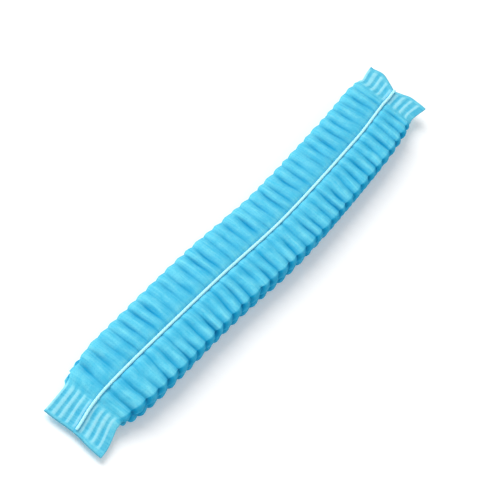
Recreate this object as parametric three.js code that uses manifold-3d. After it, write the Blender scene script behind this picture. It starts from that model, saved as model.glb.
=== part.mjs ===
// A disposable strip hairnet as it lies out of its pack: one web of soft blue non-woven
// cloth folded lengthwise into a flat bag, gathered into ribs by two elastic threads and
// pressed into a flat seal at both ends. The mouth of the bag is the slit along the +Y side.
//
// Millimetres, +Z up. X runs along the strip and Y across it. The origin lies on the
// surface that the strip rests on, under the middle of the strip.

import * as THREE from "three";
import Module from "manifold-3d";

const { smoothstep } = THREE.MathUtils;
const wasm = await Module();
wasm.setup();

// Driving dimensions
const STRIP_LENGTH = 200;
const STRIP_HEIGHT = 10.5;
const WALL = 1.2;
const RIB_COUNT = 34;
const RIBBED_LENGTH = 177;
const RIB_DEPTH = 1.2;
const RIB_INSET = 0.6; // how far a groove draws the side edges in
const RIB_WOBBLE = 0.1; // uneven gathering, as a share of the pitch
const RIB_STAGGER = 1.3; // how far the two bands' ribs lie off each other's middle
const OUTER_CREST = [0.23, 0.77]; // a rib's crest is flat between these shares of its pitch
const INNER_CREST = [0.5];
const GUSSET_SETBACK = 8; // from the mouth's edges to the inner fold, in mid-length
const MOUTH_TAPER = [58, 80]; // where the inner fold comes out to the edges again
const BAG_END = 80; // how far from the middle the plies stay apart
const PLEAT_END = 72;
const SEAL_LENGTH = 11;
const SEAL_GROOVES = { count: 7, width: 0.9, depth: 0.3, spread: 0.78 };
const ELASTIC_RADIUS = 0.42;
const ELASTIC_LIFT = 0.9; // from the valley of a band to the middle of the thread in it
const ELASTIC_INSET = 0.3; // from the sealed edge to the end of the thread
const ELASTIC_SIDES = 6;
const ELASTIC_STEPS = 40;

const CLOTH_BLUE = 0x4cc4ee;
const ELASTIC_WHITE = 0xe6f3f5;

// The strip's form: a row for each station along it. underside and top are the heights of
// the rib crests, fold and mouth the half widths on the two sides, bend the sideways drift.
const FORM = [
  { x: -100, underside: 1.6, top: 3.0, fold: 10.6, mouth: 10.4, bend: -0.4 },
  { x: -90, underside: 3.4, top: 5.2, fold: 9.6, mouth: 9.4, bend: 1 },
  { x: -84, underside: 1.6, top: 7.8, fold: 11.2, mouth: 11.0, bend: 1.4 },
  { x: -76, underside: 0.2, top: 9.9, fold: 12.4, mouth: 12.1, bend: 1.3 },
  { x: -62, underside: 0, top: 10.4, fold: 12.8, mouth: 12.3, bend: 1 },
  { x: -25, underside: 0, top: 10.5, fold: 12.3, mouth: 12.7, bend: 0 },
  { x: 15, underside: 0, top: 10.4, fold: 12.7, mouth: 12.3, bend: -1.6 },
  { x: 62, underside: 0, top: 10.2, fold: 12.1, mouth: 12.2, bend: -0.6 },
  { x: 80, underside: 0.3, top: 9.7, fold: 11.8, mouth: 11.8, bend: 0.7 },
  { x: 86, underside: 1.6, top: 8.4, fold: 11.2, mouth: 11.3, bend: 1.1 },
  { x: 92, underside: 4.2, top: 6.0, fold: 10.3, mouth: 10.4, bend: 1.3 },
  { x: 100, underside: 5.0, top: 6.4, fold: 11.4, mouth: 11.0, bend: 1.6 },
];

// The profile across a band: v is -1 at the folded side, 0 under the elastic and 1 at the
// mouth. drop is the depth below the crest, rib the share of the rib depth, inset the share
// of RIB_INSET.
const BAND = [
  { v: -1, drop: 1.4, rib: 0.6, inset: 1 },
  { v: -0.88, drop: 0.4, rib: 0.9, inset: 0.5 },
  { v: -0.62, drop: 0, rib: 1, inset: 0 },
  { v: -0.28, drop: 0, rib: 1, inset: 0 },
  { v: -0.13, drop: 0.3, rib: 0.9, inset: 0 },
  { v: 0, drop: 1.6, rib: 0.25, inset: 0 },
  { v: 0.13, drop: 0.3, rib: 0.9, inset: 0 },
  { v: 0.28, drop: 0, rib: 1, inset: 0 },
  { v: 0.62, drop: 0, rib: 1, inset: 0 },
  { v: 1, drop: 0.5, rib: 0.3, inset: 1 },
];

// The two gusset walls that lie folded between the bands: the places across the strip that
// they pass through, from the folded side to the inner fold, and their share of the ribs
const GUSSET = { places: [-0.82, 0, 0.35], follow: 0.15 };
const BAG_ROOF = [1, 0.45, 0, -0.45, -0.8]; // places across a band's inner face, mouth first

// How far the near and the far sealed edge are drawn in, by place across the strip
const SEALED_EDGE = [
  { v: -1, near: 0, far: 0 },
  { v: -0.5, near: 0.3, far: 0.4 },
  { v: -0.2, near: 0.7, far: 2.2 },
  { v: 0, near: 0.8, far: 3.2 },
  { v: 0.2, near: 0.7, far: 2.2 },
  { v: 0.6, near: 0.2, far: 0.4 },
  { v: 1, near: 0, far: 1.8 },
];

// Value of a table's column at a place, along a smooth curve through its rows
function along(table, key, column, place) {
  const last = table.length - 1;
  let i = 0;
  while (i < last - 1 && place > table[i + 1][key]) {
    i++;
  }
  const rise = (a, b) => table[b][column] - table[a][column];
  const slope = (a, b) => rise(a, b) / (table[b][key] - table[a][key]);
  const bend = (k) => {
    if (k === 0 || k === last) {
      return 0;
    }
    const before = slope(k - 1, k);
    const after = slope(k, k + 1);
    return before * after <= 0 ? 0 : (2 * before * after) / (before + after);
  };
  const span = table[i + 1][key] - table[i][key];
  const t = THREE.MathUtils.clamp((place - table[i][key]) / span, 0, 1);
  const start = table[i][column] + t * t * (3 - 2 * t) * rise(i, i + 1);
  return start + span * (t * (1 - t) ** 2 * bend(i) - t * t * (1 - t) * bend(i + 1));
}

const form = (column, x) => along(FORM, "x", column, x);
const band = (column, v) => along(BAND, "v", column, v);
const height = (x) => form("top", x) - form("underside", x);
const halfWidth = (x, v) => form(v < 0 ? "fold" : "mouth", x);

// The point at a distance off the strip's bent middle line, square to that line
function offLine(x, off, z) {
  const heading = (form("bend", x + 1) - form("bend", x - 1)) / 2;
  return new THREE.Vector3(x - off * heading, form("bend", x) + off, z);
}

// Ribs fade out where the plies run into the seals.
const ribFade = (x) => 1 - smoothstep(Math.abs(x), 0.46 * RIBBED_LENGTH, 0.51 * RIBBED_LENGTH);
const ribDepth = (x, press) => RIB_DEPTH * press * ribFade(x);

// How far a point of a seal is drawn towards the middle of the strip
function edgePull(x, v) {
  const inSeal = smoothstep(Math.abs(x), STRIP_LENGTH / 2 - SEAL_LENGTH, STRIP_LENGTH / 2);
  const column = x < 0 ? "near" : "far";
  return -Math.sign(x) * inSeal * along(SEALED_EDGE, "v", column, v);
}

// A point on the upper (side 1) or lower (side -1) band, or inward of it by some depth. A
// station holds its x and press, which is 0 on a rib's crest and 1 in the groove between ribs.
function skin({ x, press }, v, side, inward = 0, follow = 1) {
  const profile = band("drop", v) * (height(x) / STRIP_HEIGHT) + band("rib", v) * ribDepth(x, press);
  const depth = follow * profile + inward;
  const edge = halfWidth(x, v) - RIB_INSET * band("inset", v) * press * ribFade(x);
  const z = side > 0 ? form("top", x) - depth : form("underside", x) + depth;
  const point = offLine(x, v * edge, z);
  point.x += edgePull(x, v) + side * RIB_STAGGER * ribFade(x);
  return point;
}

// Stations along the ribs: a groove, then the places of the crest, for each rib
function ribStations(crest, end = STRIP_LENGTH) {
  const pitch = RIBBED_LENGTH / RIB_COUNT;
  const uneven = (i) => RIB_WOBBLE * Math.sin(2.3 * i) * Math.sin((Math.PI * i) / RIB_COUNT);
  const groove = (i) => pitch * (i + uneven(i)) - RIBBED_LENGTH / 2;
  const stations = [{ x: groove(0), press: 1 }];
  for (let i = 0; i < RIB_COUNT; i++) {
    const width = groove(i + 1) - groove(i);
    crest.forEach((share) => stations.push({ x: groove(i) + share * width, press: 0 }));
    stations.push({ x: groove(i + 1), press: 1 });
  }
  return stations.filter(({ x }) => Math.abs(x) < end);
}

// Stations of the whole outside: the ribs, with the seals before and after them
function outsideStations() {
  const steps = 4;
  const seal = [];
  for (let i = 0; i <= steps; i++) {
    seal.push(STRIP_LENGTH / 2 - (SEAL_LENGTH * i) / steps);
  }
  const near = seal.map((x) => ({ x: -x, press: 0 }));
  const far = seal.map((x) => ({ x, press: 0 })).reverse();
  return [...near, ...ribStations(OUTER_CREST), ...far];
}

// A closed solid through rings of points. The rings follow each other towards +X, and each
// runs anticlockwise as seen from +X.
function loft(rings) {
  const count = rings[0].length;
  const index = [];
  for (let r = 0; r + 1 < rings.length; r++) {
    for (let k = 0; k < count; k++) {
      const a = r * count + k;
      const b = r * count + ((k + 1) % count);
      index.push(a, b, b + count, a, b + count, a + count);
    }
  }
  const flat = (ring) => ring.map((p) => new THREE.Vector2(p.y, p.z));
  const cap = (ring) => THREE.ShapeUtils.triangulateShape(flat(ring), []);
  const last = (rings.length - 1) * count;
  cap(rings[0]).forEach(([a, b, c]) => index.push(c, b, a));
  cap(rings.at(-1)).forEach(([a, b, c]) => index.push(last + a, last + b, last + c));
  const vertProperties = new Float32Array(rings.flat().flatMap((p) => p.toArray()));
  const triVerts = new Uint32Array(index);
  return new wasm.Manifold(new wasm.Mesh({ numProp: 3, vertProperties, triVerts }));
}

// The outside of the folded web, with no hollows yet
function outerForm() {
  const across = BAND.map((row) => row.v);
  return loft(outsideStations().map((station) => [
    ...across.map((v) => skin(station, v, -1)),
    ...across.toReversed().map((v) => skin(station, v, 1)),
  ]));
}

// Clear gap between a band and the gusset wall next to it
const bandGap = (x) => 0.38 * (height(x) - 4 * WALL);

// One face of a gusset wall, from the folded side to the inner fold, at a depth under the band
function gussetFace(station, side, depth, wall) {
  const { x } = station;
  const face = GUSSET.places.map((v) => skin(station, v, side, depth, GUSSET.follow));
  const setback = GUSSET_SETBACK * (1 - smoothstep(Math.abs(x), ...MOUTH_TAPER));
  face.push(offLine(x, form("mouth", x) - setback - wall, face.pop().z));
  return face;
}

// The inside of the bag: in from the mouth under both bands, and round the inner fold
function bagInside() {
  const beyondMouth = 3;
  const half = (station, side) => {
    const roof = BAG_ROOF.map((v) => skin(station, v, side, WALL));
    const outside = roof[0].clone();
    outside.y += beyondMouth;
    return [outside, ...roof, ...gussetFace(station, side, WALL + bandGap(station.x), 0)];
  };
  const stations = ribStations(INNER_CREST, BAG_END);
  return loft(stations.map((station) => [...half(station, -1).reverse(), ...half(station, 1)]));
}

// The pleat between the two gusset walls, open on the folded side
function pleat() {
  const beyondFold = 3;
  const half = (station, side) => {
    const face = gussetFace(station, side, 2 * WALL + bandGap(station.x), WALL);
    const outside = face[0].clone();
    outside.y -= beyondFold;
    return [outside, ...face];
  };
  const stations = ribStations(INNER_CREST, PLEAT_END);
  return loft(stations.map((station) => [...half(station, -1), ...half(station, 1).reverse()]));
}

// One pressed groove of a seal, between two of its weld bars
function sealGroove(end, v, side) {
  const proud = 1;
  const places = [0.08, 0.5, 0.9].map((share) => STRIP_LENGTH / 2 - SEAL_LENGTH * (1 - share));
  const stations = places.map((x) => ({ x: end * x, press: 0 })).sort((a, b) => a.x - b.x);
  return loft(stations.map((station) => {
    const { x, y, z } = skin(station, v, side, SEAL_GROOVES.depth);
    const low = Math.min(z, z + side * proud);
    const high = Math.max(z, z + side * proud);
    const w = SEAL_GROOVES.width / 2;
    const corners = [[y - w, low], [y + w, low], [y + w, high], [y - w, high]];
    return corners.map((corner) => new THREE.Vector3(x, ...corner));
  }));
}

function sealGrooves() {
  const { count, spread } = SEAL_GROOVES;
  const grooves = [];
  for (const end of [-1, 1]) {
    for (const side of [-1, 1]) {
      for (let i = 0; i < count; i++) {
        grooves.push(sealGroove(end, spread * (-1 + (2 * i) / (count - 1)), side));
      }
    }
  }
  return grooves;
}

// An elastic thread: a taut round cord in the valley of the upper or lower band
function elastic(side) {
  const tip = STRIP_LENGTH / 2 - ELASTIC_INSET;
  const on = (x) => skin({ x, press: 0 }, 0, side);
  const points = [];
  for (let i = 0; i <= ELASTIC_STEPS; i++) {
    const x = tip * (-1 + (2 * i) / ELASTIC_STEPS);
    const run = on(x + 0.5).sub(on(x - 0.5)).normalize();
    const out = new THREE.Vector3(-run.z, 0, run.x).multiplyScalar(side);
    points.push(on(x).addScaledVector(out, ELASTIC_LIFT));
  }
  const round = new THREE.EllipseCurve(0, 0, ELASTIC_RADIUS, ELASTIC_RADIUS).getPoints(ELASTIC_SIDES);
  const extrudePath = new THREE.CatmullRomCurve3(points);
  return new THREE.ExtrudeGeometry(new THREE.Shape(round.slice(1)), { extrudePath, steps: ELASTIC_STEPS });
}

function toGeometry(solid) {
  const { vertProperties, triVerts } = solid.getMesh();
  const geometry = new THREE.BufferGeometry();
  geometry.setAttribute("position", new THREE.BufferAttribute(new Float32Array(vertProperties), 3));
  geometry.setIndex(new THREE.BufferAttribute(new Uint32Array(triVerts), 1));
  geometry.computeVertexNormals();
  return geometry;
}

function piece(name, geometry, color, roughness) {
  const mesh = new THREE.Mesh(geometry, new THREE.MeshStandardMaterial({ color, roughness }));
  mesh.name = name;
  return mesh;
}

const hollows = [bagInside(), pleat(), ...sealGrooves()];
const web = hollows.reduce((solid, hollow) => solid.subtract(hollow), outerForm());

const strip = new THREE.Group();
strip.name = "disposable_hairnet";
strip.add(piece("cap_fabric", toGeometry(web), CLOTH_BLUE, 0.85));
strip.add(piece("elastic_upper", elastic(1), ELASTIC_WHITE, 0.6));
strip.add(piece("elastic_lower", elastic(-1), ELASTIC_WHITE, 0.6));

// The origin goes under the middle of the strip's outline.
const middle = new THREE.Box3().setFromObject(strip).getCenter(new THREE.Vector3());
strip.children.forEach((mesh) => mesh.geometry.translate(-middle.x, -middle.y, 0));

export default strip;
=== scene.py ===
# %% [markdown]
# # A strip hairnet in Blender
# A strip hairnet comes out of its pack as a narrow ribbed band. It is one web of soft non-woven
# cloth, folded lengthwise into a flat bag and gathered by an elastic thread on each face. The
# two ends are pressed flat and welded. This lesson turns the plain solids of the part into that
# cloth. The solids arrive as a fixed frame in metres, so nothing has to be placed by eye.

import bpy
import numpy as np
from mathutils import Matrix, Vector


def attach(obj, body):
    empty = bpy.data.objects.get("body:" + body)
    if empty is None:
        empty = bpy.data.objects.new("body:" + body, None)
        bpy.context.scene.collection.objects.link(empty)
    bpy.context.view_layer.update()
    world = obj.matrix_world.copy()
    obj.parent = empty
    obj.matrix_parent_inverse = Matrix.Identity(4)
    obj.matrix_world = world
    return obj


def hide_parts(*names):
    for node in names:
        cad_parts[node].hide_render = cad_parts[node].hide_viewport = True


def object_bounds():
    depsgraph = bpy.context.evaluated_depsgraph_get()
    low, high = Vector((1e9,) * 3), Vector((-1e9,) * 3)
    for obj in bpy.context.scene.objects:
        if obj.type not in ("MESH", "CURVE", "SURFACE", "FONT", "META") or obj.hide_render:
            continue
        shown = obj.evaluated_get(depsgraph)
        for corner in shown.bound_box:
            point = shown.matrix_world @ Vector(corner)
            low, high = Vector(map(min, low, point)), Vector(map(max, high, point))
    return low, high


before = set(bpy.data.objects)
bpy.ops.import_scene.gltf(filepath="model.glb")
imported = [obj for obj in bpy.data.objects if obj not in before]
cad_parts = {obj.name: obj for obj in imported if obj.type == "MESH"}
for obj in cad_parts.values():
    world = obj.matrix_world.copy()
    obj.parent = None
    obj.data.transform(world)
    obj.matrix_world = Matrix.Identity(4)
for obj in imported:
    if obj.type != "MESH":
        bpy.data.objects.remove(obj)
cad_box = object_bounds()
MM = 0.001
size_mm = [round(1000 * d, 1) for d in cad_box[1] - cad_box[0]]
print("nodes:", sorted(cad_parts), "size in mm:", size_mm)

# %% [markdown]
# ## The form of the strip
# Cloth this soft could be draped by a simulation, but gathers pressed into a pack keep a form
# that is quick to state. Three short tables hold it, in millimetres. The first goes along the
# strip: the heights of the rib crests, the half widths of the two sides and a sideways bend. The
# second goes across a band, from the folded side (-1) over the elastic (0) to the mouth of the
# bag (1): how far the band drops below its crest, how deep the grooves are and how much they draw
# the edge in. The grooves are shallow at the elastic, which lies taut, and deepest near the folded
# side. The third table tells how far each sealed edge is drawn in.

# %% Tables of the form
STRIP_LENGTH, STRIP_HEIGHT, SEAL_LENGTH = 200.0, 10.5, 11.0
STRIP_END = STRIP_LENGTH / 2
SEAL_START = STRIP_END - SEAL_LENGTH
RIB_COUNT, RIBBED_LENGTH = 34, 177.0
RIB_DEPTH, RIB_INSET = 1.2, 0.5
GUSSET_SETBACK, MOUTH_TAPER = 8.0, (58.0, 80.0)

ALONG = {
    "x": (-100, -90, -84, -76, -62, -25, 15, 62, 80, 86, 92, 100),
    "underside": (1.6, 3.4, 1.6, 0.2, 0, 0, 0, 0, 0.3, 1.6, 4.2, 5.0),
    "top": (3.0, 5.2, 7.8, 9.9, 10.4, 10.5, 10.4, 10.2, 9.7, 8.4, 6.0, 6.4),
    "fold": (10.6, 9.6, 11.2, 12.4, 12.8, 12.3, 12.7, 12.1, 11.8, 11.2, 10.3, 11.4),
    "mouth": (10.4, 9.4, 11.0, 12.1, 12.3, 12.7, 12.3, 12.2, 11.8, 11.3, 10.4, 11.0),
    "bend": (-0.4, 1.0, 1.4, 1.3, 1.0, 0, -1.6, -0.6, 0.7, 1.1, 1.3, 1.6),
}
ACROSS = {
    "v": (-1, -0.9, -0.62, -0.28, -0.1, 0, 0.1, 0.28, 0.62, 0.85, 1),
    "drop": (1.2, 0.3, 0, 0, 0.25, 1.45, 0.25, 0, 0, 0.1, 0.5),
    "rib": (0.45, 0.95, 1.0, 0.68, 0.5, 0.2, 0.45, 0.65, 0.9, 0.6, 0.3),
    "inset": (1, 0.5, 0, 0, 0, 0, 0, 0, 0, 0.3, 1),
}
SEALED_EDGE = {
    "v": (-1, -0.5, -0.2, 0, 0.2, 0.6, 1),
    "near": (0, 0.3, 0.7, 0.8, 0.7, 0.2, 0),
    "far": (0, 0.4, 2.2, 3.2, 2.2, 0.4, 1.8),
}


def curve(table, key, column, place):
    """A smooth curve through the table's values that never overshoots them: a cubic between each
    two places, whose slope at a place is the harmonic mean of the slopes on its two sides."""
    p, y = np.array(table[key], float), np.array(table[column], float)
    step = np.diff(y) / np.diff(p)
    before, after = step[:-1], step[1:]
    same_way = before * after > 0
    slope = np.zeros(len(p))
    slope[1:-1] = np.where(same_way, 2 * before * after / np.where(same_way, before + after, 1), 0)
    i = np.clip(np.searchsorted(p, place) - 1, 0, len(p) - 2)
    span = p[i + 1] - p[i]
    t = np.clip((place - p[i]) / span, 0, 1)
    start = y[i] + t * t * (3 - 2 * t) * (y[i + 1] - y[i])
    return start + span * (t * (1 - t) ** 2 * slope[i] - t * t * (1 - t) * slope[i + 1])


tops = curve(ALONG, "x", "top", np.linspace(-STRIP_END, STRIP_END, 9))
print("height over the strip in mm:", np.round(tops, 1))

# %% [markdown]
# ## Where the ribs end and the seals begin
# The ribs run almost to the seals and die out there, and the seals are pressed thin. Such changes
# could be painted as weights by hand. Here each is a short S-shaped step over the distance from
# the middle of the strip, so the same step can be used for all the pieces. The ribs of the two
# bands lie in each other's gaps, and on the mouth's side they slant a little to the near end.

# %% Steps along the strip
WELDED = STRIP_END - 6
RIB_FADE = (RIBBED_LENGTH / 2 - 2, RIBBED_LENGTH / 2 + 0.5)
SHIFT_FADE = (0.4 * RIBBED_LENGTH, 0.5 * RIBBED_LENGTH)
RIB_STAGGER, RIB_SLANT = 1.3, -1.5


def ease(place, start, end):
    """0 before start, 1 after end, and an S between them."""
    t = np.clip((place - start) / (end - start), 0, 1)
    return t * t * (3 - 2 * t)


def faces(x):
    """Heights of the crests of the upper and the lower face. The welded plies of a seal are
    pressed to half of their thickness, a quarter from each face."""
    top, underside = curve(ALONG, "x", "top", x), curve(ALONG, "x", "underside", x)
    pressed = 0.25 * (top - underside) * ease(np.abs(x), SEAL_START, WELDED)
    return top - pressed, underside + pressed


def drawn_edge(x, v):
    """How far a point of a seal is drawn towards the middle of the strip."""
    near, far = curve(SEALED_EDGE, "v", "near", v), curve(SEALED_EDGE, "v", "far", v)
    return np.where(x < 0, near, -far) * ease(np.abs(x), SEAL_START, STRIP_END)


def rib_fade(x):
    """1 over the ribbed length and 0 in the seals, with a short step between them."""
    return 1 - ease(np.abs(x), *RIB_FADE)


def rib_shift(x, v, level):
    """How far the ribs of a ply lie off their place along the strip: those of the two bands
    alternate, and towards the mouth they slant to the near end."""
    alternate = RIB_STAGGER * np.sin(np.pi * np.clip(level, -0.5, 0.5))
    return (1 - ease(np.abs(x), *SHIFT_FADE)) * (alternate + RIB_SLANT * np.maximum(v, 0))


print("thickness of the seals in mm:", np.round(np.subtract(*faces(np.array([-97.0, 97.0]))), 2))

# %% [markdown]
# ## Chance, but the same every time
# No two ribs of a gathered band are alike. A few sine waves that cross each other at angles drawn
# from a seeded generator give a smooth unevenness. It can be worked out for a whole grid at once
# and it is the same on every run, which a random call for each point would not be.

# %% Uneven
def uneven(a, b, seed, size_a, size_b, waves=7):
    """A smooth unevenness of about -1 to 1: a sum of crossing sine waves, whose crests lie about
    size_a apart along a and size_b apart along b, scaled by the root of their number."""
    chance = np.random.default_rng(seed)
    total = 0
    for _ in range(waves):
        turn_a = chance.normal() / size_a
        turn_b = chance.normal() / size_b
        total = total + np.sin(2 * np.pi * (turn_a * a + turn_b * b) + chance.uniform(0, 2 * np.pi))
    return total * 1.4 / np.sqrt(waves)


print("unevenness of one seed:", np.round(uneven(np.linspace(0, 9, 5), 0.0, 3, 4.0, 1.0), 2))

# %% [markdown]
# ## Lines along and across the web
# The web is one long grid. One direction counts the ribs, so a whole number is always a groove
# and the grid has its closest lines there. The other follows the web from the upper free edge
# across the upper band, round a fold, back inwards, and so on through all its plies to the lower
# free edge. Each line holds where it lies across the strip, its level (1 is the upper face and -1
# the lower) and how far it bulges out at a fold.

# %% Grid lines
LEVELS = (1, 0.06, -0.06, -1)
SHARES = np.array([0, 0.05, 0.14, 0.27, 0.41, 0.5, 0.59, 0.73, 0.86, 0.95])
SEAL_LINES, BAND_LINES, GUSSET_LINES, FOLD_LINES = 12, 41, 11, 8
WOBBLE, WOBBLE_TURN = 0.1, 2.3

groove = np.arange(RIB_COUNT + 1)
off_place = WOBBLE * np.sin(WOBBLE_TURN * groove) * np.sin(np.pi * groove / RIB_COUNT)
groove_x = RIBBED_LENGTH / RIB_COUNT * (groove + off_place) - RIBBED_LENGTH / 2
rib_lines = np.append((groove[:-1, None] + SHARES).ravel(), RIB_COUNT)
seal = np.linspace(STRIP_END, RIBBED_LENGTH / 2, SEAL_LINES, endpoint=False)
line_x = np.concatenate([-seal, np.interp(rib_lines, groove, groove_x), seal[::-1]])
line_rib = np.concatenate([np.zeros(SEAL_LINES), rib_lines, np.full(SEAL_LINES, RIB_COUNT)])


def web_lines():
    """The lines across the web: for each ply, places from 1 at the mouth to 0 at the folded side
    or back, then a half turn round the fold to the next ply."""
    turn = np.linspace(0, np.pi, FOLD_LINES + 2)[1:-1]
    place, height, bulge, outer = [], [], [], []
    for ply, level in enumerate(LEVELS):
        is_band = abs(level) == 1
        spots = np.linspace(0, 1, BAND_LINES if is_band else GUSSET_LINES)
        spots = spots if ply % 2 else spots[::-1]
        place.append(spots)
        height.append(np.full(len(spots), level))
        bulge.append(np.zeros(len(spots)))
        outer.append(np.full(len(spots), is_band))
        if ply < len(LEVELS) - 1:
            place.append(np.full(len(turn), ply % 2))
            height.append(level + (LEVELS[ply + 1] - level) * (1 - np.cos(turn)) / 2)
            bulge.append(np.sin(turn) * (1 if ply % 2 else -1))
            outer.append(np.zeros(len(turn), bool))
    return [np.concatenate(part) for part in (place, height, bulge, outer)]


web_place, web_level, web_bulge, web_outer = web_lines()
print(len(line_x), "lines across the ribs and", len(web_place), "along them")

# %% [markdown]
# ## Ribs
# A rib is a pleat that has puffed up. A pleat rises and falls in two straight lines, and a pillow
# is the root of a sine: nearly flat on top, with a narrow valley at each whole number. The mean of
# the two has a soft crest and a clear crease. The elastic parts the two halves of a band, so each
# half is uneven in its own way. Fine wrinkles run along the ribs, most of them at the elastic,
# because the thread gathers the cloth and the edge spreads it.

# %% Creases between the ribs
PILLOW, RIB_UNEVEN, RIB_LIMITS = 0.6, 0.2, (0.5, 1.4)
WRINKLE, WRINKLE_SHARPNESS, WRINKLE_FADE = 0.3, 3, 0.6


def on_halves(half, rib, v, seeds, *sizes):
    """An unevenness of its own on each half of a band. half is 1 on the mouth's side of the
    elastic and 0 on the other."""
    mouth_side, fold_side = [uneven(rib, v, seed, *sizes) for seed in seeds]
    return half * mouth_side + (1 - half) * fold_side


def rib_creases(rib, v, half):
    """How deep in a crease a point lies, from 0 on a rib to about 1: one less the mean of a
    pleat and a pillow, times an unevenness. The wrinkles lie where another unevenness is 0."""
    pleat = 1 - np.abs(2 * (rib % 1) - 1)
    pillow = np.abs(np.sin(np.pi * rib)) ** PILLOW
    strength = on_halves(half, rib, v, (5, 6), 2.0, 1.5)
    main = (1 - (pleat + pillow) / 2) * np.clip(1 + RIB_UNEVEN * strength, *RIB_LIMITS)
    wander = on_halves(half, rib, v, (11, 12), 0.75, 1.6)
    wrinkle = np.clip(1 - WRINKLE_SHARPNESS * np.abs(wander), 0, 1)
    wrinkle = wrinkle * (1 - WRINKLE_FADE * ease(np.abs(v), 0.1, 0.9))
    return main + WRINKLE * wrinkle * (1 - main)


across_rib = rib_creases(np.linspace(0, 1, 5), 0.5, 1.0)
print("depth of the crease from groove to groove:", np.round(across_rib, 2))

# %% [markdown]
# ## The gathered web
# Four plies could be four meshes, but then their folds would have to be sewn. Here the whole web
# is one surface. Every ply takes its height from the same sum, scaled by its level, so the plies
# lie on each other like the leaves of a book. The ribs lean over to one side and sway a little. In
# the seals the height is almost nothing, and a row of grooves is pressed in from both faces, which
# leaves the weld bars between them.

# %% Surface of the web
CLOTH, NOSE, LEAST_ROOM = 0.22, 1.7, 0.02
FILM, LEAST_FILM = 0.55, 0.05
RIB_LEAN, RIB_SWAY, HALF_STEP = -0.9, 0.2, 0.06
TOOTH, TOOTH_ROUND, TOOTH_UNEVEN = 0.9, 0.8, 0.3
# Painted shade: TOOTH_SHADE darkens the notches between the teeth of the folds and inner plies,
# FOLD_SHADE the turns of the folds, VALLEY_SHADE the valley beside the elastic.
TOOTH_SHADE, FOLD_SHADE = 0.8, 0.75
BAR_PITCH, BAR_DEPTH = 0.22, 0.12
BARS_START = (SEAL_START - 1.5, SEAL_START + 0.5)
BARS_END = (STRIP_END - 1.6, STRIP_END - 0.8)
VALLEY_SHADE, SHADE_START, SHADE_END = 0.26, (0.04, 0.24), (0.2, 0.65)


def pressed_bars(x, v):
    """1 in a pressed groove of a seal, -1 on the weld bar beside it and 0 outside the seals: a
    wave across the strip with steep sides."""
    wave = np.cos(2 * np.pi * v / BAR_PITCH)
    in_seal = ease(np.abs(x), *BARS_START) * (1 - ease(np.abs(x), *BARS_END))
    return (2 * ease(wave, -0.5, 0.5) - 1) * in_seal


def gathered_web(x, rib, place, level, bulge, outer):
    """Points of the web in millimetres, and four values: painted shade in its creases, valley and
    notches, its seals' grooves and bars, painted shade on its inner plies, and how thin its wall
    is. The height is the middle of the strip plus level times half its thickness, less the band's
    own drop, the creases and the seals' grooves. The folds stand out less over a crease, which
    makes teeth."""
    x, rib = x[:, None], rib[:, None]
    fold, mouth, bend = [curve(ALONG, "x", name, x) for name in ("fold", "mouth", "bend")]
    heading = (curve(ALONG, "x", "bend", x + 1) - curve(ALONG, "x", "bend", x - 1)) / 2
    top, underside = faces(x)
    tall = top - underside
    fade = rib_fade(x)
    setback = GUSSET_SETBACK * (1 - ease(np.abs(x), *MOUTH_TAPER))

    fold_at = NOSE / fold - 1
    mouth_at = np.where(outer, 1, 1 - (setback + NOSE) / mouth)
    v = fold_at + place * (mouth_at - fold_at)
    half = 0.5 + 0.5 * np.tanh(v / HALF_STEP)
    crease = rib_creases(rib, v, half) * fade
    weld = pressed_bars(x, v)

    sway = RIB_SWAY * on_halves(half, rib, v, (7, 8), 6.0, 2.0)
    lean = RIB_LEAN * (0.5 - np.minimum(crease, 1))
    shift = fade * (sway + lean) + rib_shift(x, v, level)
    drawn_in = RIB_INSET * curve(ACROSS, "v", "inset", v) * np.minimum(crease, 1)
    notch = 1 - np.abs(np.sin(np.pi * rib)) ** TOOTH_ROUND
    notch = notch * (1 + TOOTH_UNEVEN * uneven(rib, level, 9, 2.0, 0.7))
    off = v * np.where(v < 0, fold, mouth) - np.sign(v) * drawn_in
    off = off + bulge * NOSE * (1 - TOOTH * fade * notch)

    drop = curve(ACROSS, "v", "drop", v) * tall / STRIP_HEIGHT
    groove_depth = curve(ACROSS, "v", "rib", v) * RIB_DEPTH * crease
    room = tall / 2 - CLOTH / 2 - drop - groove_depth - BAR_DEPTH * np.maximum(weld, 0)
    room = np.maximum(room, LEAST_ROOM)
    z = (top + underside) / 2 + level * room
    along = x + shift + drawn_edge(x, v) - off * heading
    points = np.stack(np.broadcast_arrays(along, bend + off, z), axis=-1)

    # Painted shade: the colour is darker the deeper a crease, and in the valley beside the elastic;
    # on the folds and inner plies it is darker in the notches between the teeth, and darker
    # overall.
    valley = ease(np.abs(v), *SHADE_START) * (1 - ease(np.abs(v), *SHADE_END))
    shaded = groove_depth / RIB_DEPTH + VALLEY_SHADE * fade * valley
    shade_and_film = {
        "crease": np.where(outer, shaded, TOOTH_SHADE * notch * fade),
        "weld": weld,
        "inside": np.where(outer, 0, np.where(bulge == 0, 1, FOLD_SHADE)) * fade,
        "thin": np.clip(FILM * room * (LEVELS[1] - LEVELS[2]) / CLOTH, LEAST_FILM, 1),
    }
    return points, {name: value + 0 * v for name, value in shade_and_film.items()}


web_points, web_shade_and_film = gathered_web(line_x, line_rib, web_place, web_level, web_bulge, web_outer)
MIDDLE = (web_points.min((0, 1)) + web_points.max((0, 1))) / 2 * (1, 1, 0)
web_points = web_points - MIDDLE
print("web in mm:", np.round(web_points.min((0, 1)), 1), "to", np.round(web_points.max((0, 1)), 1))

# %% [markdown]
# ## From a grid to a mesh
# Each cell of the grid becomes one four-sided face. The web also needs a flat pattern, because a
# finish on cloth follows the cloth: its UV map holds the distance walked along the surface in
# both directions, in millimetres. The same two distances say how large the web would be if it
# were pulled flat.

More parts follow.
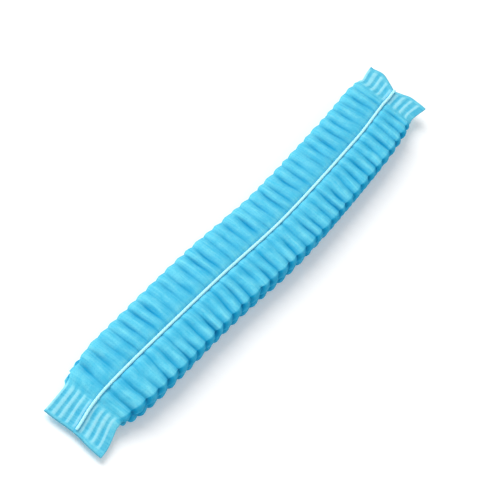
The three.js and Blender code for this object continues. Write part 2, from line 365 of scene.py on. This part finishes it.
# %% Grid mesh
def new_piece(name, points, faces):
    """A smooth mesh object from points in millimetres and the corner numbers of its faces."""
    mesh = bpy.data.meshes.new(name)
    mesh.from_pydata((points * MM).tolist(), [], faces)
    mesh.shade_smooth()
    piece = bpy.data.objects.new(name, mesh)
    bpy.context.scene.collection.objects.link(piece)
    return piece


def cells(number):
    """The four corners of each cell in a grid of point numbers."""
    corners = [number[:-1, :-1], number[1:, :-1], number[1:, 1:], number[:-1, 1:]]
    return np.stack(corners, axis=-1).reshape(-1, 4).tolist()


def grid_mesh(name, points):
    """A mesh object from a grid of points, a face for each cell."""
    number = np.arange(points.shape[0] * points.shape[1]).reshape(points.shape[:2])
    return new_piece(name, points.reshape(-1, 3), cells(number))


def walked(points):
    """Distance walked over the grid in each direction, in millimetres, from the first line."""
    down = np.linalg.norm(np.diff(points, axis=0), axis=-1)
    over = np.linalg.norm(np.diff(points, axis=1), axis=-1)
    down = np.vstack([np.zeros(points.shape[1]), np.cumsum(down, axis=0)])
    over = np.column_stack([np.zeros(points.shape[0]), np.cumsum(over, axis=1)])
    return down, over


def flat_pattern(piece, down, over):
    """A UV map named flat, in millimetres of cloth."""
    layer = piece.data.uv_layers.new(name="flat")
    corner = np.zeros(len(piece.data.loops), np.int32)
    piece.data.loops.foreach_get("vertex_index", corner)
    uv = np.stack([down.ravel(), over.ravel()], axis=-1)[corner]
    layer.data.foreach_set("uv", uv.astype(np.float32).ravel())


cap_cloth = grid_mesh("cap_cloth", web_points)
along_web, across_web = walked(web_points)
along_web = np.broadcast_to(along_web.mean(axis=1, keepdims=True), along_web.shape)
across_web = np.broadcast_to(across_web.mean(axis=0, keepdims=True), across_web.shape)
flat_pattern(cap_cloth, along_web, across_web)

# %% [markdown]
# ## A wall for the cloth
# The grid has no thickness yet. A Solidify modifier gives it one, the same amount on each side.
# In the seals the plies are pressed to a film, so a vertex group thins the wall there. Three more
# values stay on the points for the colour: how much shade is painted at a point, most deep in a
# crease, some beside the elastic and between the teeth of a fold, whether it is in a pressed groove
# (1) or on a weld bar (-1), and whether it belongs to the plies inside, which are painted in shade.

# %% Wall and stored values
def store(piece, name, values):
    """One number for each point of the mesh, which a material can read by its name."""
    layer = piece.data.attributes.new(name, "FLOAT", "POINT")
    layer.data.foreach_set("value", values.astype(np.float32).ravel())


for name in ("crease", "weld", "inside"):
    store(cap_cloth, name, web_shade_and_film[name])
film = cap_cloth.vertex_groups.new(name="film")
thickness_steps = np.round(web_shade_and_film["thin"].ravel(), 2)
for share in np.unique(thickness_steps):
    film.add(np.flatnonzero(thickness_steps == share).tolist(), float(share), "REPLACE")
wall = cap_cloth.modifiers.new("wall", "SOLIDIFY")
wall.thickness = CLOTH * MM
wall.offset = 0
wall.vertex_group = "film"
print("cloth thickness in mm:", CLOTH, "and down to", round(CLOTH * thickness_steps.min(), 3))

# %% [markdown]
# ## The elastic threads
# A thread of covered elastic runs along the middle of each face and pulls the web into its ribs.
# It is taut, so it hardly follows each rib: it bridges them in the valley of the band. A round
# profile is carried along that line, and two low ridges wind round it like the cover of the real
# thread.

# %% Elastic threads
THREAD, THREAD_SIDES, THREAD_LINES, THREAD_INSET = 0.48, 12, 900, 0.6
COVER, TWIST = 0.06, 1.2
VALLEY, LIFT, SAG, TAUT = 1.45, 0.75, 0.05, 10


def thread_line(side):
    """The middle line of a thread: the valley of the upper (1) or lower (-1) band, raised off it,
    a little lower over each groove, and averaged along its length as a taut thread lies."""
    x = np.linspace(-STRIP_END + THREAD_INSET, STRIP_END - THREAD_INSET, THREAD_LINES)
    top, underside = faces(x)
    face = (top if side > 0 else underside) - side * VALLEY * (top - underside) / STRIP_HEIGHT
    steep = np.hypot(1, np.gradient(face, x))
    raised = LIFT - SAG * np.cos(2 * np.pi * np.interp(x, groove_x, groove))
    bridge = np.ones(2 * TAUT + 1) / (2 * TAUT + 1)
    z = np.convolve(np.pad(face + side * raised * steep, TAUT, mode="edge"), bridge, "valid")
    x_line = x + rib_shift(x, 0, side) + drawn_edge(x, 0)
    return np.stack([x_line, curve(ALONG, "x", "bend", x), z], -1) - MIDDLE


def wound_thread(line):
    """A round profile on the line, with two ridges that wind half way round it in each TWIST."""
    walk = np.append(0, np.cumsum(np.linalg.norm(np.diff(line, axis=0), axis=1)))
    ahead = np.gradient(line, axis=0)
    ahead /= np.linalg.norm(ahead, axis=1, keepdims=True)
    side = np.cross(ahead, [0, 0, 1])
    side /= np.linalg.norm(side, axis=1, keepdims=True)
    up = np.cross(side, ahead)
    around = np.linspace(0, 2 * np.pi, THREAD_SIDES, endpoint=False)
    ridges = np.cos(2 * around - 2 * np.pi * walk[:, None] / TWIST)
    radius = THREAD * (1 - COVER + COVER * ridges)
    ring = side[:, None] * np.cos(around)[:, None] + up[:, None] * np.sin(around)[:, None]
    return line[:, None] + radius[..., None] * ring, walk


def thread_mesh(name, line):
    """A mesh object of a wound thread. Its first and last point are tips, and a fan of triangles
    closes the rings towards each of them."""
    rings, walk = wound_thread(line)
    inner = rings[1:-1]
    number = 1 + np.arange(len(inner) * THREAD_SIDES).reshape(-1, THREAD_SIDES)
    number = np.column_stack([number, number[:, 0]])
    last = int(number.max()) + 1
    first_ring, last_ring = number[0].tolist(), number[-1].tolist()
    first_fan = [(0, a, b) for a, b in zip(first_ring, first_ring[1:])]
    last_fan = [(last, b, a) for a, b in zip(last_ring, last_ring[1:])]
    points = np.vstack([line[:1], inner.reshape(-1, 3), line[-1:]])
    thread = new_piece(name, points, cells(number) + first_fan + last_fan)
    ring_walk = np.repeat(walk[1:-1], THREAD_SIDES)
    store(thread, "walk", np.concatenate([walk[:1], ring_walk, walk[-1:]]))
    return thread


threads = {}
for node, side in (("elastic_upper", 1), ("elastic_lower", -1)):
    threads[node] = thread_mesh(node + "_thread", thread_line(side))
print("threads:", {t.name: len(t.data.polygons) for t in threads.values()}, "faces")

# %% [markdown]
# ## Writing shaders as sums
# A material is a web of nodes. Placing each Math node by hand hides the sum that it stands for,
# so a small class wraps a socket: adding or multiplying two of them adds the Math node. Every
# other node comes from one method, which takes the node's type, its settings and its inputs.

# %% Sockets with arithmetic
class Wire:
    """One output socket of a node tree, which can be added, subtracted and multiplied."""

    def __init__(self, tree, socket=None):
        self.tree, self.socket = tree, socket

    def node(self, kind, settings=None, inputs=None, out=0):
        """Adds a node of that type and returns one of its outputs."""
        made = self.tree.nodes.new(kind)
        for name, value in (settings or {}).items():
            setattr(made, name, value)
        for name, value in (inputs or {}).items():
            if isinstance(value, Wire):
                self.tree.links.new(value.socket, made.inputs[name])
            else:
                made.inputs[name].default_value = value
        return Wire(self.tree, made.outputs[out] if made.outputs else None)

    def math(self, operation, *values):
        return self.node("ShaderNodeMath", {"operation": operation}, dict(enumerate(values)))

    def clamped(self):
        settings = {"operation": "ADD", "use_clamp": True}
        return self.node("ShaderNodeMath", settings, {0: self, 1: 0.0})

    def __add__(self, other):
        return self.math("ADD", self, other)

    def __sub__(self, other):
        return self.math("SUBTRACT", self, other)

    def __rsub__(self, other):
        return self.math("SUBTRACT", other, self)

    def __mul__(self, other):
        return self.math("MULTIPLY", self, other)

    __radd__, __rmul__ = __add__, __mul__


def new_material(name):
    """A material with an empty tree, and a wire to start from."""
    material = bpy.data.materials.new(name)
    material.use_nodes = True
    material.node_tree.nodes.clear()
    return material, Wire(material.node_tree)


def blend(start, share, first, second):
    """A colour between two colours."""
    settings = {"data_type": "RGBA"}
    return start.node("ShaderNodeMix", settings, {0: share, 6: first, 7: second}, out=2)


def noise(start, vector, scale, detail, **more):
    """A noise of about 0 to 1 over the vector."""
    inputs = {"Vector": vector, "Scale": scale, "Detail": detail}
    return start.node("ShaderNodeTexNoise", {}, inputs | more)


def stored(start, name):
    """A number that was stored on the points of the mesh."""
    return start.node("ShaderNodeAttribute", {"attribute_name": name}, out=2)


print("shader sums ready")

# %% [markdown]
# ## The pattern of non-woven cloth
# The cloth is a felt of fine plastic fibres, laid at random and welded by rows of tiny points.
# Seen close, it is cloudy where the fibres lie thicker, finely dimpled, and crossed by crinkles and
# hair-thin creases that run along the ribs. A photographed texture would repeat and blur, so each
# of these is a noise or a wave over the flat pattern. The long ones are noises stretched across
# the web.

# %% Cloth pattern
BOND_PITCH = 1.3

cloth, start = new_material("nonwoven")
flat = start.node("ShaderNodeUVMap", {"uv_map": "flat"})
flat_u = start.node("ShaderNodeSeparateXYZ", {}, {0: flat}, out=0)
flat_v = start.node("ShaderNodeSeparateXYZ", {}, {0: flat}, out=1)


def scaled(start, vector, along, across):
    """The vector in steps of its own along and across the web."""
    settings = {"operation": "MULTIPLY"}
    return start.node("ShaderNodeVectorMath", settings, {0: vector, 1: (along, across, 0)})


clouds = noise(start, flat, 0.35, 5.0, Roughness=0.62)
fibres = noise(start, flat, 2.2, 3.0, Distortion=1.5)
crinkles = noise(start, scaled(start, flat, 1.1, 0.16), 1.0, 4.0, Distortion=0.6)
folds = noise(start, scaled(start, flat, 0.5, 0.07), 1.0, 2.0, Distortion=0.5)
fine_lines = (1.0 - start.math("ABSOLUTE", folds - 0.5) * 9.0).clamped()
turn = 2 * np.pi / BOND_PITCH * np.sqrt(0.5)
bond_u = start.math("COSINE", (flat_u + flat_v) * turn)
bond_v = start.math("COSINE", (flat_u - flat_v) * turn)
bonds = ((bond_u * bond_v) * 3.0 - 1.6).clamped()
print("pattern nodes:", len(cloth.node_tree.nodes))

# %% [markdown]
# ## The colour of the cloth
# Shade is painted into the colour. The creases, the notches between the teeth of the folded side
# and the plies inside are painted a deeper blue and, where deepest, a dark shade blue: light that
# falls between the plies comes back bluer, so this painted shade is blue and not grey. The valley
# beside the elastic is painted in soft shade. In the seals the bars are paler and the pressed
# grooves between them a deeper blue, and a little shiny.

# %% Cloth material
PALE_BLUE, CLOTH_BLUE = (0.215, 0.74, 0.89, 1), (0.06, 0.53, 0.785, 1)
# DEEP_BLUE is painted shade and also the tone of the bond points and pressed grooves; SHADE_BLUE is
# the deepest painted shade.
DEEP_BLUE, SHADE_BLUE = (0.0, 0.34, 0.62, 1), (0.0, 0.14, 0.36, 1)
BAR_BLUE = (0.42, 0.86, 0.98, 1)

# crease and inside carry the painted shade that was stored on the points.
crease, weld, inside = [stored(start, name) for name in ("crease", "weld", "inside")]
cloudy = (clouds - 0.5) * 1.4 + (fibres - 0.5) * 0.5 + (crinkles - 0.5) * 1.2
# Painted shade: the hair-thin creases are a little darker.
body = blend(start, (cloudy - fine_lines * 0.12 + 0.52).clamped(), CLOTH_BLUE, PALE_BLUE)
body = blend(start, (bonds * 0.15).clamped(), body, DEEP_BLUE)
body = blend(start, (weld * -0.6).clamped(), body, BAR_BLUE)
# Painted shade: creases, the valley, the teeth and the plies inside turn deep blue, the deepest of
# them shade blue; the pressed grooves turn a deeper blue too.
body = blend(start, (crease * 0.9 + weld * 0.35 + inside).clamped(), body, DEEP_BLUE)
body = blend(start, (crease + inside - 0.95).clamped(), body, SHADE_BLUE)
relief = fibres * 0.4 + crinkles * 2.0 - bonds * 0.6 - fine_lines * 0.9
bump = start.node("ShaderNodeBump", {}, {"Strength": 0.5, "Distance": 0.16 * MM, "Height": relief})
skin = start.node("ShaderNodeBsdfPrincipled", {}, {
    "Base Color": body,
    "Roughness": (0.8 + clouds * 0.1 - weld * 0.15).clamped(),
    "Normal": bump,
    "Subsurface Weight": 0.1,
    "Subsurface Radius": (0.3 * MM, 0.7 * MM, 1.0 * MM),
    "Subsurface Scale": 1.0,
    "Specular IOR Level": 0.2,
})
start.node("ShaderNodeOutputMaterial", {}, {"Surface": skin})
cap_cloth.data.materials.append(cloth)
print("cloth material:", len(cloth.node_tree.nodes), "nodes")

# %% [markdown]
# ## Covered elastic
# The thread is white with a trace of the cloth's blue. Its wound cover is real relief, so the
# material adds only a fine fuzz and some unevenness in how white it is. Light spreads inside the
# thread, which a plain white surface would not show: that keeps its shaded side pale.

# %% Elastic material
PALE_THREAD, BLUER_THREAD = (0.52, 0.86, 1.0, 1), (0.40, 0.83, 1.0, 1)
SPREAD = 0.4 * MM

elastic, start = new_material("elastic")
position = start.node("ShaderNodeTexCoord", {}, {}, out=3)
fuzz = noise(start, position, 2500.0, 3.0)
bands = start.math("SINE", stored(start, "walk") * 0.9) * 0.2 + 0.4
white = blend(start, (fuzz * 0.5 + bands * 0.4).clamped(), PALE_THREAD, BLUER_THREAD)
bump = start.node("ShaderNodeBump", {}, {"Strength": 0.3, "Distance": 0.05 * MM, "Height": fuzz})
cover = start.node("ShaderNodeBsdfPrincipled", {}, {
    "Base Color": white,
    "Roughness": 0.55 + fuzz * 0.2,
    "Normal": bump,
    "Subsurface Weight": 1.0,
    "Subsurface Radius": (SPREAD, SPREAD, SPREAD),
    "Subsurface Scale": 1.0,
})
start.node("ShaderNodeOutputMaterial", {}, {"Surface": cover})
for thread in threads.values():
    thread.data.materials.append(elastic)
print("elastic material:", len(elastic.node_tree.nodes), "nodes")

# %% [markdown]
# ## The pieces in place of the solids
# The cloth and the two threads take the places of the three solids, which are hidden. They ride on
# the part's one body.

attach(cap_cloth, "root")
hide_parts("cap_fabric")
for node, thread in threads.items():
    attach(thread, "root")
    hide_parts(node)
print("declared:", cap_cloth.name, *[t.name for t in threads.values()])

# %% [markdown]
# ## Floor and light
# A white floor under a white sky gives the bright, nearly shadowless ground of a catalogue picture.
# One large lamp beside the strip, on the mouth's side, lights its upper face and leaves the folded
# side in soft shade. A weak one on the other side keeps that shade from going grey.

# %% Stage
FLOOR_SIZE, FLOOR_DROP = 6000, 0.05
LAMP_SIZE, SKY_STRENGTH = 0.9, 0.55
LAMPS = {"key": ((-0.1, 0.75, 0.95), 12.5), "fill": ((-0.6, -0.9, 0.7), 1.2)}


def plain_floor():
    """A flat square, just under the strip."""
    spots = np.linspace(-FLOOR_SIZE / 2, FLOOR_SIZE / 2, 3)
    x, y = np.meshgrid(spots, spots, indexing="ij")
    floor = grid_mesh("floor", np.stack([x, y, 0 * x - FLOOR_DROP], -1))
    paper, start = new_material("white_paper")
    shade = start.node("ShaderNodeBsdfPrincipled", {}, {
        "Base Color": (0.93, 0.93, 0.93, 1),
        "Roughness": 0.9,
        "Emission Color": (1, 1, 1, 1),
        "Emission Strength": 0.12,
    })
    start.node("ShaderNodeOutputMaterial", {}, {"Surface": shade})
    floor.data.materials.append(paper)


def aim(thing, target):
    """Turns a lamp or camera so that its -Z axis points at the target."""
    thing.rotation_euler = (Vector(target) - thing.location).to_track_quat("-Z", "Y").to_euler()


def soft_lamp(name, spot, power):
    """A square lamp, aimed at the strip."""
    lamp = bpy.data.lights.new(name, "AREA")
    lamp.size, lamp.energy = LAMP_SIZE, power
    holder = bpy.data.objects.new(name, lamp)
    holder.location = spot
    aim(holder, (0, 0, 0))
    bpy.context.scene.collection.objects.link(holder)


plain_floor()
for name, (spot, power) in LAMPS.items():
    soft_lamp(name, spot, power)
sky = bpy.data.worlds.new("sky")
sky.use_nodes = True
sky.node_tree.nodes["Background"].inputs["Color"].default_value = (1, 1, 1, 1)
sky.node_tree.nodes["Background"].inputs["Strength"].default_value = SKY_STRENGTH
bpy.context.scene.world = sky
bpy.context.scene.view_settings.view_transform = "Standard"

# %% [markdown]
# ## Camera
# The camera stands off the near end and looks down along the strip, which shows the ribs square to
# its length. It is then turned about its own line of sight, so that the strip runs from the lower
# left of the picture to the upper right. A long lens keeps the far end nearly as wide as the near
# one, as in a picture taken from some way off.

# %% Place the camera
AZIMUTH, ELEVATION, ROLL = np.radians([185, 45, 37])
DISTANCE, LENS, TARGET = 0.95, 225, (0, 0, 0.004)

camera = bpy.data.objects.new("camera", bpy.data.cameras.new("camera"))
camera.data.lens, camera.data.sensor_width = LENS, 36
camera.location = DISTANCE * Vector(
    (np.cos(AZIMUTH) * np.cos(ELEVATION), np.sin(AZIMUTH) * np.cos(ELEVATION), np.sin(ELEVATION))
)
aim(camera, TARGET)
camera.rotation_euler.rotate_axis("Z", ROLL)
bpy.context.scene.collection.objects.link(camera)
bpy.context.scene.camera = camera
print("camera at", np.round(camera.location, 3))
